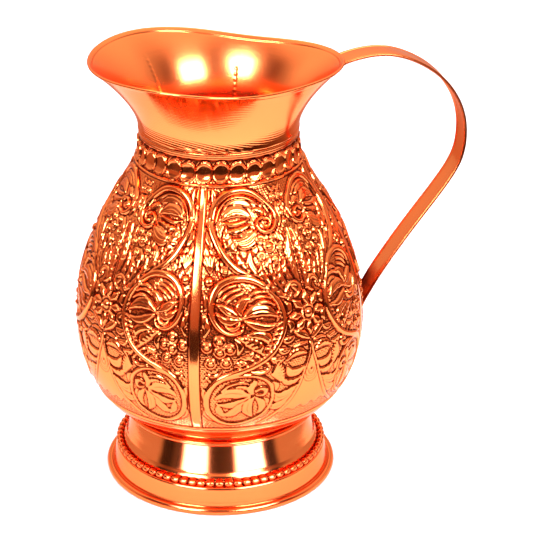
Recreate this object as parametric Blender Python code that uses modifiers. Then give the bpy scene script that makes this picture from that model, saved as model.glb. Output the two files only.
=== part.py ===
"""Embossed copper water jug on a flaring foot, with a pouring lip and a strap handle.

Frame: metres, +Z up. The jug stands on z = 0 and its handle points along +X. The origin is the
centre of the whole outline on the standing plane, so the jug's own axis is a little towards -X.
Profiles are (radius, height) pairs in millimetres from the jug's axis and the standing plane.
"""
import math

import bmesh
import bpy
from mathutils import Vector

MM = 0.001

# Driving dimensions, millimetres.
TURN_STEPS = 40            # facets round every turned piece
SHEET = 0.8                # copper sheet of body and neck
FOOT_SHEET = 0.9           # copper sheet of foot and base hoop
FIT_GAP = 0.3              # clearance between pieces that touch
BODY_RADIUS = 70.0
COLLAR_TOP = 180.6         # where the body ends and the bare neck begins
NECK_LAP = 8.6             # depth of the neck's end inside the collar
NECK_START = (38.4, 183.0)
NECK_RISE = (38.9, 192.0)  # sets how late the neck starts to flare
LIP_BELLY = 0.45           # share of the flare left at the lip's last stretch
LIP_RISE = 0.26            # share of the height left there
WAIST_RING = (46.7, 34.4, 1.3)   # radius, height, wire radius
BEAD_RING = (50.9, 14.75, 1.4)
BASE_ROLL = (55.7, 1.9, 1.96)    # the roll is pressed flat where it stands
BASE_WIRE_RADIUS = 0.85
STRAP_WIDTH = 14.0
STRAP_SHEET = 1.0
BRAZE_RADIUS = 0.55

# The lip's outline as cosine terms of the angle from the spout: reach and height.
LIP_REACH = (55.1, 3.3, 4.4, -2.7, 1.0)
LIP_HEIGHT = (212.35, 2.6, 0.1, -0.9, -0.2)

COPPER = (0.92, 0.45, 0.24)
DARK_COPPER = (0.62, 0.26, 0.13)
BRAZE = (0.80, 0.62, 0.36)


def clear_scene():
    for obj in list(bpy.data.objects):
        bpy.data.objects.remove(obj, do_unlink=True)


def make_material(name, colour, roughness):
    material = bpy.data.materials.new(name)
    material.use_nodes = True
    shader = material.node_tree.nodes["Principled BSDF"]
    shader.inputs["Base Color"].default_value = (*colour, 1.0)
    shader.inputs["Metallic"].default_value = 1.0
    shader.inputs["Roughness"].default_value = roughness
    material.diffuse_color = (*colour, 1.0)
    return material


def smooth_line(points, per_span):
    """A Catmull-Rom curve through the points, with per_span steps between neighbours."""
    pts = [Vector(p) for p in points]
    first = pts[0] * 2 - pts[1]
    last = pts[-1] * 2 - pts[-2]
    pts = [first] + pts + [last]
    line = []
    for i in range(1, len(pts) - 2):
        a, b, c, d = pts[i - 1:i + 3]
        for step in range(per_span):
            t = step / per_span
            line.append(0.5 * (2 * b + (c - a) * t + (2 * a - 5 * b + 4 * c - d) * t ** 2
                               + (3 * b - a - 3 * c + d) * t ** 3))
    line.append(pts[-2])
    return [tuple(p) for p in line]


def arc(centre, radius, start, end, steps):
    """Points on a circle from one angle to another, in degrees."""
    angles = [math.radians(start + (end - start) * i / steps) for i in range(steps + 1)]
    return [(centre[0] + radius * math.cos(a), centre[1] + radius * math.sin(a)) for a in angles]


def finish(obj, material, parts, axis):
    obj.data.materials.append(material)
    parts.objects.link(obj)
    obj.parent = axis
    return obj


def profile_object(name, profile, closed):
    """A turned piece: the profile in the XZ plane, swept round Z by a Screw modifier."""
    mesh = bpy.data.meshes.new(name)
    count = len(profile)
    edges = [(i, i + 1) for i in range(count - 1)]
    if closed:
        edges.append((count - 1, 0))
    mesh.from_pydata([(r * MM, 0.0, z * MM) for r, z in profile], edges, [])
    obj = bpy.data.objects.new(name, mesh)
    screw = obj.modifiers.new("Turn", "SCREW")
    screw.steps = TURN_STEPS
    screw.render_steps = TURN_STEPS
    screw.use_merge_vertices = True
    screw.merge_threshold = 0.00001
    screw.use_smooth_shade = True
    return obj


def turned_sheet(name, profile, thickness, material, parts, axis):
    """An open profile of the outside, top to bottom, thickened inwards."""
    obj = profile_object(name, profile, closed=False)
    solidify = obj.modifiers.new("Sheet", "SOLIDIFY")
    solidify.thickness = thickness * MM
    solidify.offset = -1.0
    solidify.use_even_offset = True
    return finish(obj, material, parts, axis)


def turned_solid(name, profile, material, parts, axis):
    """A closed profile; it may start and end on the axis."""
    on_axis = profile[0][0] == 0.0
    obj = profile_object(name, profile, closed=not on_axis)
    return finish(obj, material, parts, axis)


def wire_ring(name, radius, height, wire, sides, material, parts, axis):
    """A round wire bent into a ring, at its own height."""
    bpy.ops.mesh.primitive_torus_add(
        major_segments=TURN_STEPS, minor_segments=sides,
        major_radius=radius * MM, minor_radius=wire * MM)
    obj = bpy.context.object
    obj.name = name
    obj.data.name = name
    for home in list(obj.users_collection):
        home.objects.unlink(obj)
    obj.data.shade_smooth()
    finish(obj, material, parts, axis)
    obj.location.z = height * MM
    return obj


# ---- The pieces' shapes ----

def body_profile():
    """Outside of the embossed shell, from the collar's edge down to the turned-in bottom."""
    collar = [(38.3, COLLAR_TOP), (37.9, 176.5), (38.1, 171.5), (38.9, 168.2)]
    ring = [(40.0, 166.3)]
    wall = [(40.6, 163.6), (45.7, 154.0), (50.9, 146.0), (57.4, 134.0), (63.2, 120.0),
            (67.4, 106.0), (69.4, 94.0), (BODY_RADIUS, 83.0), (69.2, 72.0), (66.8, 62.0),
            (63.2, 53.5), (59.4, 47.0)]
    turn_in = [(56.3, 43.6), (51.5, 40.9), (46.0, 39.1), (41.2, 38.2)]
    return collar + ring + wall + turn_in


def bottom_profile():
    """A shallow dish that laps over the shell's turned-in edge."""
    top = [(0.0, 42.6), (30.0, 42.3), (45.0, 41.2), (48.5, 42.0)]
    under = [(48.9, 41.3), (45.2, 40.1), (40.0, 40.3), (0.0, 41.7)]
    return top + under


def lip_point(angle):
    """Reach and height of the lip's edge at an angle from the spout."""
    reach = sum(term * math.cos(k * angle) for k, term in enumerate(LIP_REACH))
    height = sum(term * math.cos(k * angle) for k, term in enumerate(LIP_HEIGHT))
    return reach, height


def flare_point(angle, t):
    """The neck's outside at an angle: a cubic curve from the straight neck to the lip's edge."""
    reach, height = lip_point(angle)
    ends = (NECK_START, NECK_RISE,
            (reach - LIP_BELLY * (reach - NECK_START[0]),
             height - LIP_RISE * (height - NECK_START[1])),
            (reach, height))
    weights = ((1 - t) ** 3, 3 * t * (1 - t) ** 2, 3 * t ** 2 * (1 - t), t ** 3)
    return tuple(sum(w * p[axis] for w, p in zip(weights, ends)) for axis in (0, 1))


def neck_section(angle):
    """Outside of the neck at an angle, from the lip's edge down to the end in the collar."""
    flare_steps = 7
    flare = [flare_point(angle, 1 - i / flare_steps) for i in range(flare_steps + 1)]
    lap_radius = 38.0 - SHEET - FIT_GAP - 0.1
    swage = [(38.0, COLLAR_TOP + 1.0), (lap_radius, COLLAR_TOP - 0.8)]
    end = [(lap_radius, COLLAR_TOP - NECK_LAP)]
    return flare + swage + end


def make_neck(material, parts, axis):
    """A loft, because the round neck opens into a lip that isn't round."""
    mesh = bpy.data.meshes.new("neck_lip")
    bm = bmesh.new()
    columns = []
    for step in range(TURN_STEPS):
        angle = 2 * math.pi * step / TURN_STEPS
        section = neck_section(angle)
        columns.append([bm.verts.new((-r * math.cos(angle) * MM, -r * math.sin(angle) * MM, z * MM))
                        for r, z in section])
    rows = len(columns[0])
    for step, column in enumerate(columns):
        following = columns[(step + 1) % TURN_STEPS]
        for row in range(rows - 1):
            bm.faces.new((column[row], column[row + 1], following[row + 1], following[row]))
    bm.normal_update()
    bm.to_mesh(mesh)
    bm.free()
    mesh.shade_smooth()
    obj = bpy.data.objects.new("neck_lip", mesh)
    solidify = obj.modifiers.new("Sheet", "SOLIDIFY")
    solidify.thickness = SHEET * MM
    solidify.offset = -1.0
    return finish(obj, material, parts, axis)


def foot_profile():
    """The pedestal: top flange under the body, flared wall, small cove, skirt inside the hoop."""
    flange = [(40.4, 37.2), (44.4, 37.2), (45.1, 36.5)]
    wall = [(45.1, 33.0), (45.3, 29.0), (46.1, 23.5), (47.4, 18.4)]
    skirt = [(48.5, 17.2), (49.0, 16.0), (49.0, 8.5)]
    return flange + wall + skirt


def band_profile():
    """The base hoop: a shelf for the beads, a slightly flared band and a rolled edge."""
    shelf = [(49.4, 13.0), (51.9, 13.0), (52.5, 12.4)]
    band = [(53.3, 8.0), (54.0, 4.6)]
    radius, height, roll = BASE_ROLL
    turns = arc((radius, height), roll, 132.0, -150.0, 12)
    return shelf + band + [(r, max(z, 0.0)) for r, z in turns]


def body_radius_at(height):
    """The body's outside radius where it is read between two profile points."""
    line = body_profile()
    for (r1, z1), (r2, z2) in zip(line, line[1:]):
        if z2 <= height <= z1:
            return r1 + (r2 - r1) * (z1 - height) / (z1 - z2)
    raise ValueError("height is off the body")


def strap_path():
    """The strap's middle line in the handle's plane, from under the lip to the belly."""
    stand_off = FIT_GAP + STRAP_SHEET / 2
    tab = []
    for t in (0.62, 0.74, 0.86, 0.96):
        here = Vector(flare_point(math.pi, t))
        ahead = Vector(flare_point(math.pi, t + 0.01))
        along = (ahead - here).normalized()
        tab.append(tuple(here + Vector((along.y, -along.x)) * stand_off))
    loop = [(66.5, 211.4), (80.0, 212.4), (93.6, 208.6), (105.6, 201.1), (114.8, 190.7),
            (120.2, 178.2), (121.1, 164.8), (117.6, 152.0)]
    run = [(98.7, 125.2), (79.9, 98.4)]
    foot = [(74.7, 89.6)]
    for height in (81.0, 74.0, 67.5):
        foot.append((max(BODY_RADIUS, body_radius_at(height)) + stand_off, height))
    return tab + loop + run + foot


def strap_sides():
    """Both sides of the strap: the smooth middle line moved half a sheet each way."""
    middle = smooth_line(strap_path(), 3)
    outer, inner = [], []
    for i, point in enumerate(middle):
        before = Vector(middle[max(i - 1, 0)])
        after = Vector(middle[min(i + 1, len(middle) - 1)])
        along = (after - before).normalized()
        across = Vector((-along.y, along.x)) * STRAP_SHEET / 2
        outer.append(tuple(Vector(point) + across))
        inner.append(tuple(Vector(point) - across))
    return outer, inner


def make_handle(material, parts, axis):
    """The strap's side view as a flat outline, extruded to its width."""
    outer, inner = strap_sides()
    outline = outer + inner[::-1]
    curve = bpy.data.curves.new("handle_strap", "CURVE")
    curve.dimensions = "2D"
    curve.fill_mode = "BOTH"
    curve.extrude = STRAP_WIDTH / 2 * MM
    spline = curve.splines.new("POLY")
    spline.points.add(len(outline) - 1)
    for point, (r, z) in zip(spline.points, outline):
        point.co = (r * MM, z * MM, 0.0, 1.0)
    spline.use_cyclic_u = True
    obj = bpy.data.objects.new("handle_strap", curve)
    finish(obj, material, parts, axis)
    obj.rotation_euler = (math.pi / 2, 0.0, 0.0)
    return obj


def make_braze_bar(name, at, material, parts, axis):
    """A short round run of filler across the strap's end."""
    bpy.ops.mesh.primitive_cylinder_add(
        vertices=10, radius=BRAZE_RADIUS * MM, depth=(STRAP_WIDTH - 1.0) * MM)
    obj = bpy.context.object
    obj.name = name
    obj.data.name = name
    for home in list(obj.users_collection):
        home.objects.unlink(obj)
    finish(obj, material, parts, axis)
    obj.location = (at[0] * MM, 0.0, at[1] * MM)
    obj.rotation_euler = (math.pi / 2, 0.0, 0.0)
    return obj


def beyond_end(path, last, distance):
    """A point past the end of the strap, along its last stretch."""
    end, before = Vector(path[last]), Vector(path[1 if last == 0 else last - 1])
    return end + (end - before).normalized() * distance


def main():
    clear_scene()
    parts = bpy.data.collections.new("copper_water_jug")
    bpy.context.scene.collection.children.link(parts)

    reach = max(r for r, _ in strap_sides()[0])
    axis = bpy.data.objects.new("jug_axis", None)
    bpy.context.scene.collection.objects.link(axis)
    axis.location.x = -(reach - BODY_RADIUS) / 2 * MM

    embossed = make_material("embossed_copper", COPPER, 0.28)
    polished = make_material("polished_copper", COPPER, 0.16)
    plain = make_material("foot_copper", COPPER, 0.2)
    hidden = make_material("bare_copper", DARK_COPPER, 0.45)
    filler = make_material("brazing_filler", BRAZE, 0.4)

    turned_sheet("body_shell", body_profile(), SHEET, embossed, parts, axis)
    turned_solid("body_bottom", bottom_profile(), hidden, parts, axis)
    make_neck(polished, parts, axis)
    wire_ring("collar_braze_ring", 36.25, COLLAR_TOP - NECK_LAP - 0.8, 0.45, 6, filler, parts, axis)

    wire_ring("waist_ring", *WAIST_RING, 8, plain, parts, axis)
    turned_solid("foot_braze_ring", [(41.0, 37.85), (43.6, 37.85), (43.6, 37.5), (41.0, 37.5)],
                 filler, parts, axis)
    turned_sheet("foot_wall", foot_profile(), FOOT_SHEET, plain, parts, axis)
    wire_ring("bead_ring", *BEAD_RING, 8, plain, parts, axis)
    turned_sheet("base_band", band_profile(), 0.7, plain, parts, axis)
    wire_ring("base_rim_wire", BASE_ROLL[0], BASE_ROLL[1] + 0.05, BASE_WIRE_RADIUS, 6,
              hidden, parts, axis)

    make_handle(polished, parts, axis)
    path = strap_path()
    top = beyond_end(path, 0, FIT_GAP + BRAZE_RADIUS)
    bottom = beyond_end(path, len(path) - 1, FIT_GAP + BRAZE_RADIUS)
    make_braze_bar("handle_top_braze", top, filler, parts, axis)
    make_braze_bar("handle_bottom_braze", bottom, filler, parts, axis)


main()
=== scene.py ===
"""Looks of the embossed copper water jug: fine meshes, copper materials, studio and camera.

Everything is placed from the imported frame. The jug's own axis, where every profile is turned, is the
middle of the body. Profiles are (radius, height) pairs in millimetres from that axis and the floor.
"""
import math

import bpy
import numpy as np
from mathutils import Matrix, Vector


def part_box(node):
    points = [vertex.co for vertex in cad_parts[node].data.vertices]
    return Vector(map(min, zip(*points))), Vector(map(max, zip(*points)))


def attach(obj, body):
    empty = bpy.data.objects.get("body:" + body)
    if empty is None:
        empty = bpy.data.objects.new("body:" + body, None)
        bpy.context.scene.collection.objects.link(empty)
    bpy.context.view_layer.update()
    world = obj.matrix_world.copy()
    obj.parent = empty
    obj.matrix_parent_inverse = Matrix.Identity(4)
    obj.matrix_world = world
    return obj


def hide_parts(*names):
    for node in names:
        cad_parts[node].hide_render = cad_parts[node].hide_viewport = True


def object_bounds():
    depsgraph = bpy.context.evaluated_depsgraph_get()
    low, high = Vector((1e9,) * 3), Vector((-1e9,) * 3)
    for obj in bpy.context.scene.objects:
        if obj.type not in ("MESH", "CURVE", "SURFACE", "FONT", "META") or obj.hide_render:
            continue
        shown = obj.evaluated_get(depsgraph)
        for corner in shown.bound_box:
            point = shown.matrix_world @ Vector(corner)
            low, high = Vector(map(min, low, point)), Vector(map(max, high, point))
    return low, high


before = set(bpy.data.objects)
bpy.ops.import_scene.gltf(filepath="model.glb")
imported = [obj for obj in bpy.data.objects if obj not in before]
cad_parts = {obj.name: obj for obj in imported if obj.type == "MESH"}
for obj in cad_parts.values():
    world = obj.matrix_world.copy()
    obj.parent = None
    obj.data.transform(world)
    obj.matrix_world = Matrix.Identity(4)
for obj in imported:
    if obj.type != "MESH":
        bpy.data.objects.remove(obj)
cad_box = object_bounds()

MM = 0.001
body_low, body_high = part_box("body_shell")
AXIS = np.array([(body_low.x + body_high.x) / 2, (body_low.y + body_high.y) / 2, cad_box[0][2]])

SHEET = 0.8  # copper sheet of body and neck
FOOT_SHEET = 0.9
COLLAR_LOBES = 31
BEADS = 72
BAND_TO_HANDLE = 112.0  # degrees round from the front plain band to the handle

# ---------- chased relief
# The pattern is drawn on the body laid out flat. A point is (degrees round the jug from a plain band,
# millimetres down the outside from the line under the collar). A panel lies between two bands, and its
# two halves mirror each other about the rosette's axis, so one half is drawn.

HALF_PANEL = 48.2  # degrees from a band's middle to the rosette's axis, on the wider halves
NARROW_HALF = 41.8  # the same on the narrower halves; one of each makes a quarter of the jug
BAND_HALF = 2.3  # degrees from the plain band's middle to its edge
RELIEF_TOP = 0.0  # the line under the collar
RELIEF_END = 123.0  # the ridge that ends the pattern
CELL = 0.22  # mm between the flat drawing's rows
NEAR = 1.6  # mm beyond a shape that its edge and its chased line can reach
LEAF_FULLNESS = 1.45  # how much fuller a leaf is than the widths drawn for it
EDGE_SOFT = 0.45  # mm over which a raised shape's edge rises
LINE_DEPTH, LINE_WIDTH = 0.45, 0.45  # mm, the line chased round a raised shape


def smoothstep(x):
    x = np.clip(x, 0.0, 1.0)
    return x * x * (3.0 - 2.0 * x)


def peak(x, width):
    """1 where x is 0, and falling smoothly to nothing about two widths away."""
    return np.exp(-((x / width) ** 2))


def full_turn(steps):
    return np.linspace(0, 2 * np.pi, steps, endpoint=False)


def spline(points, per_span=8):
    """A smooth line through the points: a natural cubic spline over the square roots of the chords."""
    points = np.asarray(points, float)
    span = np.sqrt(np.maximum(np.linalg.norm(np.diff(points, axis=0), axis=1), 1e-9))
    matrix = np.eye(len(points))
    rhs = np.zeros_like(points)
    for i in range(1, len(points) - 1):
        before, after = span[i - 1], span[i]
        matrix[i, i - 1 : i + 2] = before, 2.0 * (before + after), after
        rhs[i] = 6.0 * ((points[i + 1] - points[i]) / after - (points[i] - points[i - 1]) / before)
    bend = np.linalg.solve(matrix, rhs)
    line = []
    for i, h in enumerate(span):
        u = np.linspace(0.0, h, per_span, endpoint=False)[:, None]
        v = h - u
        line.append(
            bend[i] * v**3 / (6 * h) + bend[i + 1] * u**3 / (6 * h)
            + (points[i] / h - bend[i] * h / 6) * v + (points[i + 1] / h - bend[i + 1] * h / 6) * u
        )
    return np.vstack(line + [points[-1:]])


class FlatSheet:
    """Heights in mm of the half panel laid out flat, and where bare ground is left for the punches."""

    def __init__(self, width, top, bottom, mm_per_degree):
        self.down = np.arange(top, bottom, CELL)
        self.scale = mm_per_degree(self.down)[:, None]
        self.turn = np.arange(0.0, width, CELL / self.scale.max())
        self.height = np.zeros((len(self.down), len(self.turn)))
        self.ground = np.ones_like(self.height)

    def window(self, low, high, reach):
        """The rows and columns within reach, in mm, of a box."""
        rows = slice(*np.searchsorted(self.down, [low[1] - reach, high[1] + reach]))
        wide = reach / self.scale[rows].min()
        return rows, slice(*np.searchsorted(self.turn, [low[0] - wide, high[0] + wide]))

    def follow(self, path, reach):
        """Near a path: the window, each cell's distance in mm, and its place along the path."""
        window = rows, columns = self.window(path.min(0), path.max(0), reach)
        best = np.full_like(self.height[window], 1e3)
        along = np.zeros_like(best)
        middle = np.interp((path[1:, 1] + path[:-1, 1]) / 2, self.down, self.scale[:, 0])
        steps = np.hypot(np.diff(path[:, 0]) * middle, np.diff(path[:, 1]))
        start = np.concatenate([[0.0], np.cumsum(steps)])
        for first, last, begun, step in zip(path[:-1], path[1:], start[:-1], steps):
            low, high = np.minimum(first, last), np.maximum(first, last)
            near_rows, near_columns = self.window(low, high, reach)
            r = slice(near_rows.start - rows.start, near_rows.stop - rows.start)
            c = slice(near_columns.start - columns.start, near_columns.stop - columns.start)
            scale = self.scale[near_rows]
            x = (self.turn[near_columns][None, :] - first[0]) * scale
            y = self.down[near_rows][:, None] - first[1]
            dx, dy = (last[0] - first[0]) * scale, last[1] - first[1]
            share = np.clip((x * dx + y * dy) / (dx * dx + dy * dy + 1e-12), 0.0, 1.0)
            distance = np.hypot(x - share * dx, y - share * dy)
            nearer = distance < best[r, c]
            best[r, c] = np.where(nearer, distance, best[r, c])
            along[r, c] = np.where(nearer, (begun + share * step) / start[-1], along[r, c])
        return window, best, along

    def polar(self, centre, reach):
        """Near a centre: the window, each cell's distance in mm, and its angle, 90 is down."""
        rows, columns = self.window(centre, centre, reach)
        x = (self.turn[columns][None, :] - centre[0]) * self.scale[rows]
        y = self.down[rows][:, None] - centre[1] + 0.0 * x
        return (rows, columns), np.hypot(x, y), np.degrees(np.arctan2(y, x))

    def press(self, window, inside, height, line=LINE_DEPTH):
        """Raises a shape; inside is mm from its edge, and a chased line is sunk just outside that edge."""
        cover = smoothstep(inside / EDGE_SOFT + 0.5)
        groove = line * peak(np.minimum(inside, 0.0), LINE_WIDTH) * (1.0 - cover)
        self.height[window] = self.height[window] * (1.0 - cover) + height * cover - groove
        self.ground[window] *= 1.0 - smoothstep((inside + 0.5) / 0.4)


def widths_along(widths, along):
    """A width that runs smoothly through the given ones, spaced evenly along a shape."""
    at = np.linspace(0.0, 1.0, 65)
    knots = np.linspace(0.0, 1.0, len(widths))
    smooth = np.interp(at, knots, widths)
    for _ in range(6):
        smooth[1:-1] = (smooth[:-2] + 2 * smooth[1:-1] + smooth[2:]) / 4
    return np.interp(along, at, smooth)


def stroke(sheet, points, widths, height, crease=0.0, ribs=0, lobes=0, slant=0.5, rib_depth=0.35,
           line=LINE_DEPTH):
    """A raised stem, petal or leaf along a line. Widths are half widths in mm. A crease is a line sunk
    along the middle, with flutes beside it where the leaf is wide. Ribs are oblique veins, and lobes
    scallop the edge. A leaf has a crease or ribs, and it's fuller than its widths say."""
    full = LEAF_FULLNESS if crease or ribs else 1.0
    window, distance, along = sheet.follow(spline(points), full * max(widths) + NEAR)
    half = np.maximum(full * widths_along(widths, along), 0.12)
    if lobes:
        half = half * (0.78 + 0.22 * np.abs(np.sin(np.pi * lobes * along)))
    across = np.clip(distance / half, 0.0, 1.0)
    dome = (1.0 - across**3) ** 0.55
    top = height * (0.2 + 0.8 * dome) * smoothstep(0.45 + half / 1.2)
    if ribs:
        wave = 0.5 + 0.5 * np.cos(2 * np.pi * (ribs * along + slant * ribs * 0.25 * across))
        top = top - rib_depth * wave**2 * smoothstep(distance / 0.7)
    if crease:
        flute = peak(distance - 0.55 * half, 0.26) * smoothstep((half - 1.3) / 0.6)
        top = top - crease * (1.2 * peak(distance, 0.36) + 0.8 * flute)
    sheet.press(window, half - distance, top, line)


def strokes(sheet, *rows):
    """Several strokes: a row is points, half widths, height, and any crease, ribs and lobes."""
    for row in rows:
        stroke(sheet, *row)


def incise(sheet, points, depth, width):
    """A line sunk into what is already there."""
    window, distance, along = sheet.follow(spline(points), 3 * width)
    ends = smoothstep(along * 8) * smoothstep((1 - along) * 8)
    sheet.height[window] -= depth * ends * peak(distance, width)


def ball(sheet, centre, radius, height, ring=0.0):
    """A raised ball, with a raised ring round it if ring is the ring's radius in mm."""
    window, distance, _ = sheet.polar(centre, max(radius, ring) + NEAR)
    if ring:
        sheet.press(window, ring + 0.25 - distance, height * 0.8 * np.ones_like(distance))
        trough = 0.55 * radius + 0.45 * ring
        sheet.height[window] -= 0.8 * height * peak(distance - trough, 0.22 * (ring - radius) + 0.12)
    dome = np.sqrt(np.clip(1.0 - (distance / radius) ** 2, 0.0, 1.0))
    sheet.press(window, radius - distance, height * (0.3 + 0.7 * dome), line=0.25)


def fan(sheet, centre, direction, length, spread, ribs, height):
    """A ribbed shell that opens from its centre towards a direction in degrees, 0 right and 90 down."""
    window, distance, angle = sheet.polar(centre, length + NEAR)
    off = (angle - direction + 180.0) % 360.0 - 180.0
    share = off / spread + 0.5
    scallop = np.abs(np.sin(np.pi * ribs * np.clip(share, 0.0, 1.0)))
    edge = length * (0.88 + 0.12 * scallop)
    aside = distance * np.sin(np.radians(np.clip(spread / 2 - np.abs(off), -90.0, 90.0)))
    inside = np.minimum(edge - distance, aside)
    top = height * (0.5 + 0.5 * np.sqrt(np.clip(distance / length, 0, 1))) * (0.25 + 0.75 * scallop**0.6)
    sheet.press(window, inside, top)


def feather(sheet, spine, count, length, lean, width, height):
    """Oblique barbs on the right of a line: lean is degrees off the line."""
    path = spline(spine)
    picks = np.linspace(0, len(path) - 2, count).astype(int)
    for n, i in enumerate(picks):
        here, way = path[i], path[i + 1] - path[i]
        scale = float(np.interp(here[1], sheet.down, sheet.scale[:, 0]))
        angle = np.arctan2(way[1], way[0] * scale) + np.radians(lean)
        reach = length * (0.7 + 0.3 * np.sin(np.pi * (n + 0.5) / count))
        tip = here + reach * np.array([np.cos(angle) / scale, np.sin(angle)])
        bow = (here + tip) / 2 + 0.12 * reach * np.array([-np.sin(angle) / scale, np.cos(angle)])
        stroke(sheet, [here, bow, tip], (width, width, 0.2 * width), height, line=0.3)


PUNCH_PITCH = 1.3  # mm between the punched dots of the ground
PUNCH_DEPTH = 0.22


def ground_punches(turn, down, scale):
    """Rows of small round dents over the whole area, staggered and slightly uneven, in mm of depth."""
    row = np.round(down / (0.87 * PUNCH_PITCH))
    above = down - row * 0.87 * PUNCH_PITCH
    pitch = (PUNCH_PITCH / scale)[:, None]
    place = turn[None, :] / pitch + 0.5 * (row % 2)[:, None]
    wander = 0.22 * np.sin(12.9 * row[:, None] + 78.2 * np.round(place))
    aside = (place - np.round(place) - 0.3 * wander) * PUNCH_PITCH
    drop = above[:, None] + 0.8 * wander
    return PUNCH_DEPTH * peak(np.hypot(aside, drop), 0.36 * PUNCH_PITCH)


# ---------- half panel

BELL_EDGE = ((47.8, 79.8), (46.8, 86), (45.3, 91), (42.6, 100), (38.7, 108.4), (33.6, 115), (26, 121))
BELL_FLOOR = 114.6  # where the plain bell ends
LEAF = (0.3, 1.1, 1.0, 0.2)  # half widths of a small leaf


def draw_foot_hatch(sheet):
    """Oblique strokes that fill the ground above the lower border."""
    for turn in np.arange(26) * 1.75 + 3.6:
        incise(sheet, [(turn + 1.6, 117.6), (turn, 121.8)], 0.22, 0.24)


def draw_filling(sheet):
    """Small leaves that grow over the ground between the larger motifs: creased ones, then ribbed ones."""
    for leaf in (((3.6, 12), (4.6, 16), (4, 21)), ((4, 22), (5, 26), (7.4, 29.6)),
                 ((3.6, 28), (4, 32), (6.6, 35.6)), ((13.6, 39.8), (17, 41.6), (20.4, 43.2)),
                 ((26.6, 33), (27.6, 29.8), (26, 27.4)), ((33, 41.6), (33, 37.8), (34.4, 34.2)),
                 ((43.6, 12), (44.6, 17), (43.4, 22)), ((46.4, 10.4), (46, 14), (46.6, 18)),
                 ((41, 24), (42.6, 28), (42.8, 33)), ((36.6, 40.4), (36.4, 44), (37.6, 48)),
                 ((38, 57.4), (39.4, 59.8), (38.2, 62.6)), ((37.6, 66), (39.6, 68.4), (38.8, 71.6)),
                 ((34.8, 74.4), (37.6, 75.4), (40.6, 74)), ((33, 79), (35.8, 80.4), (38.6, 79.4)),
                 ((29.4, 82.6), (32.6, 84.4), (35.4, 83.4)), ((31.4, 86.4), (33.6, 88.6), (35, 91.4)),
                 ((29.8, 94.6), (32, 97.4), (31.6, 100.4)), ((30, 111), (27.4, 114), (23.6, 116.4)),
                 ((3.7, 50.6), (5, 54), (4.2, 58)), ((3.7, 60), (4.4, 63), (3.8, 66.4)),
                 ((16, 71.2), (17.4, 74.6), (16.6, 78.4)), ((17.6, 80), (20.4, 80.2), (22.6, 78)),
                 ((15.6, 84.6), (18, 83.2), (20.6, 83.4)), ((3.7, 96), (4.4, 100), (3.8, 104)),
                 ((4, 108), (5, 112), (8, 116.4))):
        stroke(sheet, leaf, LEAF, 0.65, crease=0.25)
    for leaf in (((14.6, 21.4), (18.6, 21.6), (23, 20.6), (27.4, 18.6)),
                 ((21.4, 23.4), (24.6, 23), (28.2, 21)), ((30.6, 12), (34, 12.6), (36.4, 14.6)),
                 ((13, 26.6), (14.6, 31), (17.6, 34.6)), ((9.4, 104.8), (9.6, 109), (12, 113.4)),
                 ((27.6, 103.2), (28.6, 106.6), (27.4, 110.2)), ((15.6, 95), (19, 95.6), (20.8, 97.8))):
        stroke(sheet, leaf, LEAF, 0.65, ribs=4)


def draw_top_scroll(sheet):
    """The C scroll under the collar, with the acanthus leaf that fills it."""
    strokes(
        sheet,
        ([(12.2, 14), (17.5, 9.4), (23.5, 8.2), (30, 10.4)], (0.4, 1.5, 1.6, 0.3), 0.8, 0.3),
        ([(12.5, 16), (17.5, 12.8), (23, 12.6), (28.2, 15.4)], (0.4, 1.7, 1.8, 0.3), 0.95, 0.35),
        ([(12.4, 17.6), (16.5, 18.4), (21.5, 17.8), (27, 16.2)], (0.3, 0.9, 0.9, 0.3), 0.7),
        ([(17.5, 25.4), (21, 27), (25.4, 26), (29.6, 21.8)], (0.5, 2.3, 2.3, 0.3), 1, 0.35),
        ([(14.2, 19.6), (14.2, 23.4), (16, 28.2), (19.6, 31.6)], (0.4, 1.6, 1.9, 0.4), 0.85, 0, 5),
        ([(36.6, 9.8), (38.8, 12.2), (39.2, 15)], (0.3, 0.8, 0.3), 0.6),
        ([(8.6, 17.5), (10.4, 12.2), (15.5, 7.3), (22, 5.8), (29, 7), (34.4, 9.8)],
         (0.5, 0.7, 0.7, 0.6, 0.3), 0.8),
        ([(5.7, 18.5), (7.4, 10.6), (11.7, 6.2), (16.7, 3.9), (23.7, 2.9), (30.7, 4), (36.7, 7.4),
          (40.8, 11.2), (43, 15.2), (42.2, 19.2), (39.6, 22), (35.7, 23), (32, 21.6), (30.8, 19),
          (32.9, 16.6), (36.6, 16.4), (38.7, 18.1), (37.9, 19.9), (35.6, 19.9)],
         (1.7, 1.7, 1.6, 1.5, 1.4, 1.3, 1.1, 0.9, 0.7, 0.6), 1.15),
    )


def draw_stem_leaves(sheet):
    """Leaves that grow from the main stem towards the rosette's axis."""
    strokes(
        sheet,
        ([(25.8, 43), (22.8, 39.5), (20.2, 36), (18.6, 31.8)], (0.4, 1.5, 1.4, 0.3), 0.8, 0, 5),
        ([(28.2, 43.4), (25.8, 40), (24.2, 35.6), (24.9, 30.8)], (0.4, 1.3, 1.2, 0.3), 0.95, 0.3),
        ([(31.6, 48.6), (30.4, 45), (28.8, 41.6), (28.9, 37.2)], (0.4, 1.1, 1.1, 0.3), 0.8, 0, 4),
    )


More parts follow.
